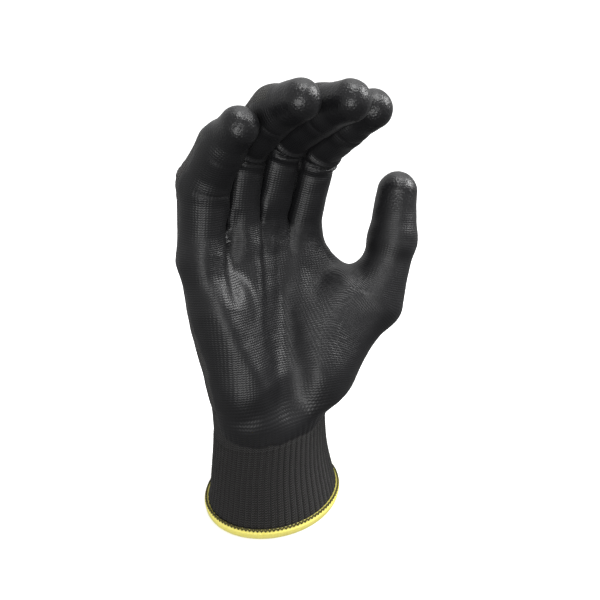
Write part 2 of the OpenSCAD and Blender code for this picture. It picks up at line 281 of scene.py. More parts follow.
WALES = 48                              # knitted columns round a finger
digits = []
for name, tip_bend, tip_length, radii in (("index", 11.9, 16, (11, 9.9, 9.4, 8.7)),
                                          ("middle", 15.0, 17, (11, 9.9, 10.0, 8.9)),
                                          ("ring", 18.1, 17, (11, 9.9, 9.6, 8.7)),
                                          ("little", 16.4, 15, (9.2, 10.3, 9.4, 8.2))):
    root, mid, end = (hinge(f"{name}_{part}_bend") for part in ("root", "middle", "end"))
    axis = np.array(joint[f"{name}_root_bend"]["axis"])
    knuckle = root - unit(mid - root) * ROOT_REACH
    tip = end + turned(unit(end - mid), axis, tip_bend) * tip_length
    bends = [math.degrees(math.acos(unit(mid - root) @ unit(end - mid))), tip_bend]
    digits.append(Digit(name, [knuckle, mid, end, tip], bends, radii,
                        np.cross(axis, unit(mid - root)), WALES,
                        {"little": 2.6, "ring": 0.7}.get(name, 0.8)))
thumb_base = from_palm((20.5, -12.3, 20.3))
thumb_root, thumb_mid = hinge("thumb_root_opening"), hinge("thumb_end_opening")
thumb_tip = from_palm((61.2, -38.4, 104.6))
thumb = Digit("thumb", [thumb_base, thumb_root, thumb_mid, thumb_tip], [35, 12],
              (16, 11.4, 12.0, 9.9),
              PALM_TURN @ unit(np.array((-0.45, -0.9, 0.0))), 56)
digits.append(thumb)
fingers = digits[:4]

METACARPAL_STARTS = ((14, -1, 6), (4, 1, 4), (-8, 0, 4), (-18, -3, 6))


def palm_field(points):
    d = None
    for finger, start in zip(fingers, METACARPAL_STARTS):
        part = capsule(points, from_palm(start), finger.corners[0], 16.5, 11.4)
        d = part if d is None else smooth_min(d, part, 7)
    # flesh below the little finger, then the wrist's oval
    heel = capsule(points, from_palm((-23, -9, 20)), from_palm((-30.5, -7.5, 58)), 13.2, 12.0)
    d = smooth_min(d, heel, 9)
    c, s = math.cos(TWIST), math.sin(TWIST)
    middle = CUFF_LEAN * smoothstep(4, 34, points[:, 2])[:, None]
    flat = points[:, :2] - middle
    x, y = flat[:, 0] * c + flat[:, 1] * s, flat[:, 1] * c - flat[:, 0] * s
    ease = 1 - (1 - np.clip(points[:, 2] / CUFF_TOP, 0, 1)) ** 2.2
    half = CUFF_HALF[None] + (WRIST_HALF - CUFF_HALF)[None] * ease[:, None]
    oval = (np.hypot(x / half[:, 0], y / half[:, 1]) - 1) * half.min(axis=1)
    capped = -smooth_min(-oval, -(points[:, 2] - 64), 14)
    return smooth_min(d, capped, 8), oval


FLESH = (((20.5, -12.3, 20.3), (50, -27.7, 48), 17.2, 12.0, 18),
         ((9, -4, -12), (20.5, -12.3, 20.3), 12, 14.5, 16),
         ((20, -8, 42), (38, -19, 56), 13, 12, 14), ((30, -4, 76), (41, -16, 54), 8.5, 8.5, 8),
         ((41, -16, 54), (52, -29, 61), 8.5, 9, 8))


FINGER_GAP = 2.4                        # twice the free width between two fingers' knit


def glove_field(points):
    palm, oval = palm_field(points)
    # flesh at the thumb's root, running down into the wrist, and the web up to the index finger
    for a, b, start, end, run_in in FLESH:
        palm = smooth_min(palm, capsule(points, from_palm(a), from_palm(b), start, end), run_in)
    each = np.stack([d.field(points) for d in fingers])
    hand = smooth_min(palm, each.min(axis=0), 6)
    hand = smooth_min(hand, thumb.field(points, 1), 9)
    # neighbouring fingers lie against each other but are parted from just past the knuckles
    nearest, past = each.argmin(axis=0), np.zeros(len(points))
    for k, digit in enumerate(fingers):
        first = unit(digit.corners[1] - digit.corners[0])
        past[nearest == k] = (points[nearest == k] - digit.corners[0]) @ first
    closest, second = np.partition(each, 1, axis=0)[:2]
    slit = (FINGER_GAP + 8) * smoothstep(4, 10, past) - 8 - (second - closest)
    hand = -smooth_min(-hand, -slit / 2, 1.2)
    # down at the ribs only the drawn-in cuff is left
    return oval + (hand - oval) * smoothstep(50, 68, points[:, 2])


STITCH_GRID = 0.62                      # spacing of the surface's points
# height where the ribbed cuff hands over to the glove's hand
GLOVE_START = 50.0
low = np.array((-55.0, -32.0, GLOVE_START - 3))
high = np.array((95.0, 46.0, 226.0))
count = np.ceil((high - low) / STITCH_GRID).astype(int)
ticks = [low[k] + STITCH_GRID * np.arange(count[k]) for k in range(3)]
cube = np.full(count, 3.0, np.float32)
BLOCK = 16                              # only blocks that the surface crosses are worked out finely
for i in range(0, count[0], BLOCK):
    xs = ticks[0][i:i + BLOCK]
    corner_y, corner_z = np.meshgrid(ticks[1][::BLOCK], ticks[2][::BLOCK], indexing="ij")
    reach = STITCH_GRID * BLOCK / 2
    centres = np.column_stack([np.full(corner_y.size, xs[0] + reach),
                               corner_y.ravel() + reach, corner_z.ravel() + reach])
    rough = glove_field(centres)
    for (x0, y0, z0), d in zip(centres - reach, rough):
        j, k = int(round((y0 - low[1]) / STITCH_GRID)), int(round((z0 - low[2]) / STITCH_GRID))
        if abs(d) > reach * 2.2:
            cube[i:i + BLOCK, j:j + BLOCK, k:k + BLOCK] = np.sign(d) * 3
            continue
        block = np.meshgrid(xs, ticks[1][j:j + BLOCK], ticks[2][k:k + BLOCK], indexing="ij")
        shape = block[0].shape
        flat = glove_field(np.column_stack([b.ravel() for b in block]))
        cube[i:i + BLOCK, j:j + BLOCK, k:k + BLOCK] = np.clip(flat, -3, 3).reshape(shape)
grid = openvdb.FloatGrid(3.0)
grid.copyFromArray(cube)
points, quads = grid.convertToQuads(0.0)
surface = points.astype(float) * STITCH_GRID + low
quads = quads.astype(int)


def slope(points):
    """The way out of the surface."""
    step, out = 0.05, np.empty_like(points)
    for k in range(3):
        d = np.zeros(3)
        d[k] = step
        out[:, k] = glove_field(points + d) - glove_field(points - d)
    return out / np.linalg.norm(out, axis=1)[:, None]


for _ in range(2):
    surface -= slope(surface) * glove_field(surface)[:, None]
outward = slope(surface)
a, b, c = (surface[quads[:, k]] for k in (0, 1, 2))
if np.mean(np.einsum("ij,ij->i", np.cross(b - a, c - a), outward[quads[:, 0]])) < 0:
    quads = quads[:, ::-1]

# Where every point lies on the hand: which digit, how far along it and round it.
near = np.stack([d.field(surface) for d in digits])
owner = np.argmin(near[:4], axis=0)
in_palm = to_palm(surface)
run, angle = np.full((5, len(surface)), -50.0), np.zeros((5, len(surface)))
for k, digit in enumerate(digits):
    close = near[k] < (9 if k < 4 else 18)
    run[k, close], angle[k, close] = digit.place(surface[close])
finger_run = run[owner, np.arange(len(surface))]
finger_near = near[owner, np.arange(len(surface))]
THUMB_SIDE = 33.0                       # palm frame: the thumb's own piece starts this far out
is_thumb = (in_palm[:, 0] > THUMB_SIDE) & ((near[4] < finger_near) | (in_palm[:, 2] < 80))

# Knit directions as a UV map counted in stitches: columns run up the hand and the fingers,
# rows run round them, and both turn off into the thumb.
ROW, RIB_ROW = 1.1, 1.35                # mm from row to row, in the hand and in the cuff
SHEET_CENTRE, SHEET_HALF, SHEET_ROUND = -6.0, 28.0, 14.0
COLUMN = (4 * SHEET_HALF + 2 * math.pi * SHEET_ROUND) / 152


def palm_column(p):
    x, y = p[:, 0] - SHEET_CENTRE, p[:, 1] + 1
    t = np.clip(x, -SHEET_HALF, SHEET_HALF)
    a = np.arctan2(x - t, -y)
    front = t + SHEET_ROUND * a
    back = np.sign(x) * (2 * SHEET_HALF + math.pi * SHEET_ROUND) - x
    return np.where((np.abs(x) < SHEET_HALF) & (y > 0), back, front) / COLUMN


column, row = palm_column(in_palm), in_palm[:, 2] / ROW


def joined(column_new, row_new, share):
    """Turns the palm's columns and rows smoothly into a digit's own."""
    global column, row
    column_new = column_new + 8 * np.round((column - column_new) / 8)
    column, row = column + (column_new - column) * share, row + (row_new - row) * share


for k, digit in enumerate(digits):
    knuckle = to_palm(digit.corners[0][None])[0]
    sheet = (2 * SHEET_HALF + math.pi * SHEET_ROUND - 2 * (knuckle[0] - SHEET_CENTRE)) / COLUMN
    centre = ((2 * SHEET_HALF + math.pi * SHEET_ROUND) / COLUMN - 8 * round(sheet / 8)) / 2
    centre = centre if k < 4 else palm_column(knuckle[None])[0]
    mine = (owner == k) & ~is_thumb if k < 4 else is_thumb | (finger_run < 4)
    if k < 4:
        share = smoothstep(-8, 14, run[k]) * smoothstep(6, 1, near[k]) * mine
    else:
        share = smoothstep(-6, 40, run[k]) * smoothstep(16, 1, near[k]) * mine
    joined(centre + digit.wales * angle[k] / (2 * math.pi), (run[k] + knuckle[2]) / ROW, share)

# Folds, rolls and hollows, as heights along the surface's own way out, in mm.
height = np.zeros(len(surface))


def bump(value, centre, width):
    return np.exp(-((value - centre) / width) ** 2)


for k, digit in enumerate(digits):
    mine = ((owner == k) & ~is_thumb) if k < 4 else is_thumb
    s, a = run[k], angle[k]
    knuckle_at = digit.lengths[0] if k < 4 else digit.lengths[0] + digit.lengths[1]
    end_at = knuckle_at + (digit.lengths[1] if k < 4 else 99)
    front, back = smoothstep(0.0, 0.95, np.cos(a)), smoothstep(0.1, 0.9, -np.cos(a))
    # a fold isn't square to the finger: it leans and wanders a little
    lean = s + (0.9 + 0.5 * k) * np.sin(a + k) + 0.7 * np.sin(2.3 * a + 2 * k)
    size = (0.7, 0.8, 0.55, 0.12, 0.08)[k]
    folds = (-1.5 * bump(lean, knuckle_at - 0.5, 1.6) + 1.15 * bump(lean, knuckle_at - 4.6, 2.0)
             - 0.6 * bump(lean, knuckle_at - 8.4, 1.5)
             + 1.0 * bump(lean, knuckle_at + 3.8, 2.0) - 0.4 * bump(lean, knuckle_at + 7.4, 1.5)
             - 0.5 * bump(lean, end_at, 1.5) + 0.3 * bump(lean, end_at - 4.2, 2.0))
    height += mine * front * folds * size
    height += mine * back * 0.16 * bump(s, knuckle_at, 7) * np.cos(s * 2 * math.pi / 3.6)


def along_line(corners, width):
    """Share of a long fold that runs through these places of the palm, fading at both ends."""
    share, flat = np.zeros(len(surface)), in_palm[:, [0, 2]]
    corners = np.array(corners, float)
    reach = np.concatenate([[0], np.cumsum(np.linalg.norm(np.diff(corners, axis=0), axis=1))])
    nearest, at = np.full(len(surface), 1e9), np.zeros(len(surface))
    for a, b, start in zip(corners, corners[1:], reach):
        t = np.clip((flat - a) @ (b - a) / ((b - a) @ (b - a)), 0, 1)
        d = np.linalg.norm(flat - a - t[:, None] * (b - a), axis=1)
        closer = d < nearest
        nearest[closer], at[closer] = d[closer], (start + t * np.linalg.norm(b - a))[closer]
    ends = np.sin(math.pi * np.clip(at / reach[-1], 0.02, 0.98)) ** 0.6
    share = np.exp(-(nearest / width) ** 2) * ends
    return share * (in_palm[:, 1] < -4)


# ridges and hollows that run from between the fingers down the palm
for line, width, rise in ((((5, 108), (6, 85), (4, 60), (1, 35), (0, 5)), 4.8, -2.5),
                          (((-4, 108), (-8, 92), (-11, 78), (-13, 62), (-17, 42)), 3.8, 1.7),
                          (((-22, 104), (-23, 88), (-28, 73), (-32, 58)), 3.8, -2.3),
                          (((-44, 92), (-41, 72), (-38, 58), (-33, 42), (-27, 30), (-20, 15)), 5.5,
                           2.0),
                          (((17, 108), (17, 86), (15, 70), (11, 50)), 5.0, 1.5),
                          (((44, 60), (32, 53), (21, 44), (13, 33), (8, 20), (5, 6)), 7.5, 1.3),
                          (((-6, 109), (-3, 103), (-2, 96)), 1.8, 1.0),
                          (((-33, 109), (-27, 102), (-23, 94)), 2.2, 1.0),
                          (((-37, 84), (-38, 76), (-36, 70)), 2.4, -0.6)):
    height += rise * along_line(line, width)
for i, p in enumerate(surface):
    height[i] += 0.5 * noise.noise(p / 17) + 0.25 * noise.noise(p / 7)
height *= smoothstep(51, 66, surface[:, 2])

# The ribs of the cuff run on under the hand's first rows and die out.
RIBS, RIB_DEPTH = 60, 0.7


def cuff_half(z):
    ease = 1 - (1 - np.clip(z / CUFF_TOP, 0, 1)) ** 2.2
    return CUFF_HALF[0] + (WRIST_HALF[0] - CUFF_HALF[0]) * ease, \
        CUFF_HALF[1] + (WRIST_HALF[1] - CUFF_HALF[1]) * ease


def cuff_angle(x, y, z):
    half_x, half_y = cuff_half(z)
    turn = TWIST * np.clip(z / CUFF_TOP, 0, 1)
    x, y = x - CUFF_LEAN[0] * smoothstep(4, 34, z), y - CUFF_LEAN[1] * smoothstep(4, 34, z)
    return np.arctan2((y * np.cos(turn) - x * np.sin(turn)) / half_y,
                      (x * np.cos(turn) + y * np.sin(turn)) / half_x)


def rib_height(around, z):
    crest = np.abs(np.sin(around * RIBS / 2)) ** 0.75
    return RIB_DEPTH * (crest - 0.62) * (1 - smoothstep(46, 68, z))


around = cuff_angle(*surface.T)
height += rib_height(around, surface[:, 2])
# on the wrist the columns follow the ribs, two to a rib
share = 1 - smoothstep(60, 84, surface[:, 2])
column_new = around * RIBS * 2 / (2 * math.pi)
column_new += 8 * np.round((column - column_new) / 8)
column += (column_new - column) * share
row += ((surface[:, 2] - CUFF_TOP) / RIB_ROW - row) * share
shaped = surface + outward * height[:, None]


def way_out(positions):
    """Normals of the whole surface, so that pieces cut from it show no seam."""
    a, b, c, d = (positions[quads[:, k]] for k in range(4))
    face = np.cross(c - a, d - b)
    total = np.zeros_like(positions)
    for k in range(4):
        for axis in range(3):
            total[:, axis] += np.bincount(quads[:, k], face[:, axis], len(positions))
    return total / np.linalg.norm(total, axis=1)[:, None]


knit_normals = way_out(shaped)

# ---------------------------------------------------------------------------
# The knitted hand. Black cut resistant yarn, taken to be nylon mixed, knitted in one go without
# seams, 1.1 mm thick. It is cut here only where the fingers, thumb and wrist bend.
KNIT_THICK = 1.1
link = bpy.context.scene.collection.objects.link


def shell(name, faces, outer, normals, thick, uv, material, extra=None):
    """A cloth piece with an outside, an inside and closed rims."""
    used, faces = np.unique(faces, return_inverse=True)
    faces = faces.reshape(-1, 4)
    n = len(used)
    edges = np.concatenate([faces[:, [k, (k + 1) % 4]] for k in range(4)])
    key = np.sort(edges, axis=1) @ np.array([n, 1])
    _, first, counts = np.unique(key, return_index=True, return_counts=True)
    rim = edges[first[counts == 1]]
    rim_faces = np.column_stack([rim[:, 1], rim[:, 0], rim[:, 0] + n, rim[:, 1] + n])
    every = np.concatenate([faces, faces[:, ::-1] + n, rim_faces])
    place = np.concatenate([outer[used], outer[used] - normals[used] * thick]) * 0.001
    mesh = bpy.data.meshes.new(name)
    mesh.vertices.add(2 * n)
    mesh.vertices.foreach_set("co", place.ravel())
    mesh.loops.add(every.size)
    mesh.loops.foreach_set("vertex_index", every.ravel().astype(np.int32))
    mesh.polygons.add(len(every))
    mesh.polygons.foreach_set("loop_start", np.arange(0, every.size, 4, dtype=np.int32))
    mesh.update(calc_edges=True)
    corners = uv[used][every % n]
    corners[:, :, 0] -= 8 * np.round((corners[:, :, 0] - corners[:, :1, 0]) / 8)
    layer = mesh.uv_layers.new(name="knit")
    layer.data.foreach_set("uv", corners.ravel().astype(np.float32))
    for label, values in (extra or {}).items():
        layer = mesh.attributes.new(label, "FLOAT", "POINT")
        layer.data.foreach_set("value", np.tile(values[used], 2).astype(np.float32))
    mesh.materials.append(material)
    loose = np.cross(place[every[:, 2]] - place[every[:, 0]],
                     place[every[:, 3]] - place[every[:, 1]])
    loose /= np.maximum(np.linalg.norm(loose, axis=1), 1e-12)[:, None]
    turned_out = np.concatenate([normals[used], -normals[used]])[every]
    turned_out[2 * len(faces):] = loose[2 * len(faces):, None]
    mesh.polygons.foreach_set("use_smooth", np.ones(len(every), bool))
    mesh.normals_split_custom_set(turned_out.reshape(-1, 3))
    made = bpy.data.objects.new(name, mesh)
    link(made)
    return made


def knit_pattern(tree, thread, hollow, slant):
    """Height of plain knitting, row on row of bowed stitches, from the piece's stitch count."""
    uv = add(tree, "ShaderNodeUVMap", {"uv_map": "knit"})
    wander = add(tree, "ShaderNodeTexNoise", None,
                 {"Vector": uv.outputs[0], "Scale": 0.35, "Detail": 2.0})
    spread = add(tree, "ShaderNodeVectorMath", {"operation": "MULTIPLY_ADD"},
                 {0: wander.outputs["Color"], 1: (0.5, 0.5, 0.0), 2: uv.outputs[0]})
    parts = add(tree, "ShaderNodeSeparateXYZ", None, {0: spread.outputs[0]})
    column_turn = add(tree, "ShaderNodeMath", {"operation": "MULTIPLY"},
                      {0: parts.outputs[0], 1: 2 * math.pi})
    bow = add(tree, "ShaderNodeMath", {"operation": "COSINE"}, {0: column_turn.outputs[0]})
    row_bowed = add(tree, "ShaderNodeMath", {"operation": "MULTIPLY_ADD"},
                    {0: bow.outputs[0], 1: slant, 2: parts.outputs[1]})
    row_turn = add(tree, "ShaderNodeMath", {"operation": "MULTIPLY"},
                   {0: row_bowed.outputs[0], 1: 2 * math.pi})
    thread_round = add(tree, "ShaderNodeMath", {"operation": "COSINE"}, {0: row_turn.outputs[0]})
    legs = add(tree, "ShaderNodeMath", {"operation": "MULTIPLY"},
               {0: thread_round.outputs[0], 1: thread})
    gaps = add(tree, "ShaderNodeMath", {"operation": "MULTIPLY_ADD"},
               {0: bow.outputs[0], 1: hollow, 2: legs.outputs[0]})
    return gaps, spread


knit_yarn, tree, shader = new_material("knitted_nylon_yarn")
# Matt spun yarn: no gloss, a faint haze of fibre ends, with painted shade between the stitches: the
# colour darkens where the stitches' height is low.
stitches, _ = knit_pattern(tree, 0.5, -0.3, 0.22)
level = add(tree, "ShaderNodeMapRange", None, {0: stitches.outputs[0], 1: -0.8, 2: 0.8})
patchy = add(tree, "ShaderNodeTexNoise", None, {"Scale": 90.0, "Detail": 3.0})
place_node = add(tree, "ShaderNodeTexCoord")
tree.links.new(place_node.outputs["Object"], patchy.inputs["Vector"])
# painted shade: colour runs from near black down between the stitches to dark brown-grey on their
# tops
deep = add(tree, "ShaderNodeMix", {"data_type": "RGBA"},
           {0: level.outputs[0], 6: linear("#0f0d0b"), 7: linear("#2b2825")})
tint = add(tree, "ShaderNodeMix", {"data_type": "RGBA", "blend_type": "MULTIPLY"},
           {0: 0.5, 6: deep.outputs[2], 7: patchy.outputs["Color"]})
tree.links.new(tint.outputs[2], shader.inputs["Base Color"])
relief = add(tree, "ShaderNodeBump", None, {"Strength": 0.9, "Distance": 0.0005,
                                            "Height": level.outputs[0]})
tree.links.new(relief.outputs[0], shader.inputs["Normal"])
shader.inputs["Roughness"].default_value = 0.92
shader.inputs["Sheen Weight"].default_value = 0.1
shader.inputs["Sheen Roughness"].default_value = 0.5

rib_yarn, tree, shader = new_material("rib_knitted_yarn")
# The same matt yarn, drawn together, with painted shade: greyer on the crests, black down in the
# grooves.
stitches, _ = knit_pattern(tree, 0.5, 0.15, 0.25)
level = add(tree, "ShaderNodeMapRange", None, {0: stitches.outputs[0], 1: -0.7, 2: 0.7})
# painted shade: colour runs from black in the grooves to grey on the crests, following the
# stitches' height
deep = add(tree, "ShaderNodeMix", {"data_type": "RGBA"},
           {0: level.outputs[0], 6: linear("#020202"), 7: linear("#1f1d1c")})
tree.links.new(deep.outputs[2], shader.inputs["Base Color"])
relief = add(tree, "ShaderNodeBump", None, {"Strength": 1.0, "Distance": 0.0007,
                                            "Height": level.outputs[0]})
tree.links.new(relief.outputs[0], shader.inputs["Normal"])
shader.inputs["Roughness"].default_value = 0.9
shader.inputs["Sheen Weight"].default_value = 0.06

# Which piece each face belongs to. Every cut lies where the pieces on both sides move alike.
HEEL_TOP = 71.0                         # above it the wrist's bend has ended
ROOT_CUT = 12.0                         # a finger's own pieces start this far past its knuckle
face_run = finger_run[quads].mean(axis=1)
face_owner = owner[quads[:, 0]]
face_thumb = is_thumb[quads].mean(axis=1) > 0.5
face_z = surface[quads, 2].mean(axis=1)
face_thumb_run = run[4][quads].mean(axis=1)
kept = surface[quads, 2].min(axis=1) > GLOVE_START
heel_faces = kept & (face_z < HEEL_TOP)
thumb_faces = kept & ~heel_faces & face_thumb
THUMB_CUT = thumb.lengths[0] + thumb.lengths[1] - 9
regions = {"heel": heel_faces, "thumb_root": thumb_faces & (face_thumb_run <= THUMB_CUT),
           "thumb_tip": thumb_faces & (face_thumb_run > THUMB_CUT)}
finger_faces = kept & ~heel_faces & ~face_thumb & (face_run > ROOT_CUT)
hand_faces = kept & ~heel_faces & ~face_thumb & ~finger_faces
on_back = in_palm[quads, 1].mean(axis=1) > 1
regions["palm"], regions["hand_back"] = hand_faces & ~on_back, hand_faces & on_back
WRIST_BEND = ("cuff", "palm", (0, 0, 0.042), (0, 0, 0.0705))
bends = {"heel": WRIST_BEND}
bends["thumb_root"] = ("palm", "thumb_proximal", from_palm((39.7, -22.9, 45.4)) * 0.001,
                       from_palm((53.0, -29.5, 48.8)) * 0.001)
bends["thumb_tip"] = ("thumb_proximal", "thumb_distal", thumb.point(THUMB_CUT + 1) * 0.001,
                      thumb.point(THUMB_CUT + 18) * 0.001)
stands_for = {"palm": ["palm"], "hand_back": ["palm"], "heel": ["palm"],
              "thumb_root": ["thumb_proximal"], "thumb_tip": ["thumb_distal"]}
for k, digit in enumerate(fingers):
    mid_at, end_at = digit.lengths[0], digit.lengths[0] + digit.lengths[1]
    root_end = min(27.0, mid_at - 10)
    cuts = (ROOT_CUT, (root_end + mid_at - 7) / 2, (mid_at + end_at) / 2, 999)
    zones = ((16 if k == 3 else 13, root_end), (mid_at - 7, mid_at + 7),
             (end_at - 6.5, end_at + 6.5))
    bodies = ("palm", f"{digit.name}_proximal", f"{digit.name}_middle", f"{digit.name}_distal")
    for part, (lower, upper) in enumerate(zip(cuts, cuts[1:])):
        name = f"{digit.name}_{('root', 'knuckle', 'tip')[part]}"
        regions[name] = finger_faces & (face_owner == k) & (face_run > lower) & (face_run <= upper)
        bends[name] = (bodies[part], bodies[part + 1], digit.point(zones[part][0]) * 0.001,
                       digit.point(zones[part][1]) * 0.001)
        stands_for[name] = [bodies[part + 1]]

stitch_count = np.column_stack([column, row])


def fix(piece, region, layer):
    """Hides the model's node that a piece stands for, and attaches the piece to the palm unless it
    lies across a bend, where it is only baked into world space.
    """
    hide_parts(*[f"{node}_{layer}" for node in stands_for[region]])
    if region in bends:
        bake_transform(piece)
    else:
        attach(piece, "palm")


for region, chosen in regions.items():
    piece = shell(f"{region}_knit", quads[chosen], shaped, knit_normals, KNIT_THICK, stitch_count,
                  rib_yarn if region == "heel" else knit_yarn)
    fix(piece, region, "liner")

# ---------------------------------------------------------------------------
# The coating. Black polyurethane, dipped with the hand flat: it covers the palm, the palm side of
# the fingers and all of their tips, and soaks in round its edge. A film of about 0.3 mm.
reach_in = np.full(len(surface), -20.0)      # mm inside the coating's edge
side_x = in_palm[:, 0] - SHEET_CENTRE
side_angle = np.arctan2(side_x - np.clip(side_x, -SHEET_HALF, SHEET_HALF), -(in_palm[:, 1] + 1))
edge_angle = np.where(side_x < 0, 0.95 + 0.75 * smoothstep(25, 75, in_palm[:, 2]), 1.9)
on_front = np.where((np.abs(side_x) < SHEET_HALF) & (in_palm[:, 1] > -1), -20,
                    SHEET_ROUND * (edge_angle - np.abs(side_angle)))
reach_in = np.where(is_thumb, reach_in, on_front)
for k, digit in enumerate(digits):
    mine = ((owner == k) & ~is_thumb) if k < 4 else is_thumb
    share = smoothstep(2, 14, run[k]) * mine if k < 4 else smoothstep(10, 30, run[k]) * mine
    edge = math.radians(112 if k < 4 else 118) - np.abs(angle[k])
    tip_run = sum(digit.lengths)
    wrap = np.maximum(edge * digit.radii[1], run[k] - tip_run + 12)
    base = on_front
    reach_in = np.where(mine, base * (1 - share) + wrap * share, reach_in)
wrist_edge = 51.5 + 5.5 * (1 - np.cos(around + math.radians(78))) + 1.2 * np.sin(3 * around)
reach_in = np.minimum(reach_in, (surface[:, 2] - wrist_edge))
for i, p in enumerate(surface):
    reach_in[i] += 1.6 * noise.noise(p / 6) + 0.8 * noise.noise(p / 2.2)
FILM_EDGE, FILM_THICK = -0.8, 0.3
film_rise = -0.12 + 0.34 * smoothstep(FILM_EDGE, 2.2, reach_in)
coated = shaped + knit_normals * film_rise[:, None]
coat_normals = way_out(coated)
tip_share = np.zeros(len(surface))
for k, digit in enumerate(digits):
    mine = ((owner == k) & ~is_thumb) if k < 4 else is_thumb
    tip_share += mine * 0.85 * smoothstep(sum(digit.lengths) - 15, sum(digit.lengths) - 3, run[k])

satin_film, tree, shader = new_material("satin_polyurethane_film")
# A thin satin skin: soft wide highlights, the rows of knit showing through as beads with a painted
# highlight on their tops and painted shade between them, thinner and duller at its edge, thicker
# and smoother on the finger tips.
stitches, spread = knit_pattern(tree, 0.5, -0.12, 0.12)
object_place = add(tree, "ShaderNodeTexCoord")
cloud = add(tree, "ShaderNodeTexNoise", None, {"Vector": object_place.outputs["Object"],
                                               "Scale": 120.0,
                                              "Detail": 4.0})
fine = add(tree, "ShaderNodeTexNoise", None, {"Vector": spread.outputs[0], "Scale": 1.7,
                                              "Detail": 3.0})
level = add(tree, "ShaderNodeMapRange", None, {0: stitches.outputs[0], 1: -0.7, 2: 0.7})
tip = add(tree, "ShaderNodeAttribute", {"attribute_name": "tip"})
# on the tips the film is thick enough to hide the rows and dries in small blisters, 1 mm across
blister = add(tree, "ShaderNodeTexVoronoi", {"feature": "SMOOTH_F1"},
              {"Vector": object_place.outputs["Object"], "Scale": 900.0, "Smoothness": 0.25})
blister = add(tree, "ShaderNodeMapRange", None, {0: blister.outputs[0], 1: 0.0, 2: 0.55, 3: 1.2,
                                                 4: 0.0})
rows_left = add(tree, "ShaderNodeMix", {"data_type": "FLOAT"},
                {0: tip.outputs["Fac"], 2: level.outputs[0], 3: blister.outputs[0]})
mixed = add(tree, "ShaderNodeMath", {"operation": "MULTIPLY_ADD"},
            {0: fine.outputs[0], 1: 0.5, 2: rows_left.outputs[0]})
relief = add(tree, "ShaderNodeBump", None, {"Strength": 0.32, "Distance": 0.0004,
                                            "Height": mixed.outputs[0]})
tree.links.new(relief.outputs[0], shader.inputs["Normal"])
# painted highlight and shade: the film's colour is lighter on the knit beads' tops and darker
# between them, following the stitches' height
shade = add(tree, "ShaderNodeMix", {"data_type": "RGBA"},
            {0: level.outputs[0], 6: linear("#0d0d0e"), 7: linear("#1c1c1e")})
clouded = add(tree, "ShaderNodeMix", {"data_type": "RGBA"},
              {0: cloud.outputs[0], 6: shade.outputs[2], 7: linear("#151517")})
tree.links.new(clouded.outputs[2], shader.inputs["Base Color"])
dull = add(tree, "ShaderNodeMapRange", None, {0: tip.outputs["Fac"], 1: 0.0, 2: 1.0, 3: 0.36,
                                              4: 0.26})
rough = add(tree, "ShaderNodeMath", {"operation": "MULTIPLY_ADD"},
            {0: cloud.outputs[0], 1: 0.12, 2: dull.outputs[0]})
tree.links.new(rough.outputs[0], shader.inputs["Roughness"])
shader.inputs["IOR"].default_value = 1.5
shader.inputs["Specular IOR Level"].default_value = 0.42

film_faces = reach_in[quads].max(axis=1) > FILM_EDGE
for region, chosen in regions.items():
    piece = shell(f"{region}_coat", quads[chosen & film_faces], coated, coat_normals, FILM_THICK,
                  stitch_count,
                  satin_film, {"tip": tip_share})
    fix(piece, region, "coating")

# ---------------------------------------------------------------------------
# The ribbed cuff. One-and-one rib knitted in the same yarn with a rubber thread in every few rows,
# which draws it into some sixty ribs. Each stitch shows as a rung between two ribs.
CUFF_START = 2.5
PER_RIB = 6
RING_STEP = 0.4
rings = np.arange(CUFF_START, GLOVE_START + 0.9, RING_STEP)
turn_steps = np.arange(RIBS * PER_RIB) * 2 * math.pi / (RIBS * PER_RIB)
ring_z, ring_t = np.meshgrid(rings, turn_steps, indexing="ij")
half_x, half_y = cuff_half(ring_z)
rung = ring_z / RIB_ROW * 2 * math.pi
groove = 1 - np.abs(np.sin(ring_t * RIBS / 2)) ** 0.75
rise = rib_height(ring_t, ring_z) + (
    0.34 * groove + 0.16 * (1 - groove)) * np.cos(rung + 1.4 * np.cos(ring_t * RIBS))
rise -= 0.7 * smoothstep(GLOVE_START - 0.1, GLOVE_START + 0.8, ring_z)
turn = TWIST * ring_z / CUFF_TOP
flat_x, flat_y = (half_x + rise) * np.cos(ring_t), (half_y + rise) * np.sin(ring_t)
lean = smoothstep(4, 34, ring_z)
cuff_points = np.stack([flat_x * np.cos(turn) - flat_y * np.sin(turn) + CUFF_LEAN[0] * lean,
                        flat_x * np.sin(turn) + flat_y * np.cos(turn) + CUFF_LEAN[1] * lean,
                        ring_z],
                       axis=-1).reshape(-1, 3)
steps = len(turn_steps)
i, j = np.meshgrid(np.arange(len(rings) - 1), np.arange(steps), indexing="ij")
cuff_quads = np.stack([i * steps + j, i * steps + (j + 1) % steps,
                       (i + 1) * steps + (j + 1) % steps,
                       (i + 1) * steps + j], axis=-1).reshape(-1, 4)
cuff_count = np.column_stack([ring_t.ravel() * RIBS * 2 / (2 * math.pi),
                              (ring_z.ravel() - CUFF_TOP) / RIB_ROW])
a, b, c, d = (cuff_points[cuff_quads[:, k]] for k in range(4))
face = np.cross(c - a, d - b)
cuff_normals = np.zeros_like(cuff_points)
for k in range(4):
    for axis in range(3):
        cuff_normals[:, axis] += np.bincount(cuff_quads[:, k], face[:, axis], len(cuff_points))
cuff_normals /= np.linalg.norm(cuff_normals, axis=1)[:, None]
cuff = shell("cuff_rib", cuff_quads, cuff_points, cuff_normals, KNIT_THICK, cuff_count, rib_yarn)
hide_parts("cuff_liner")
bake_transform(cuff)


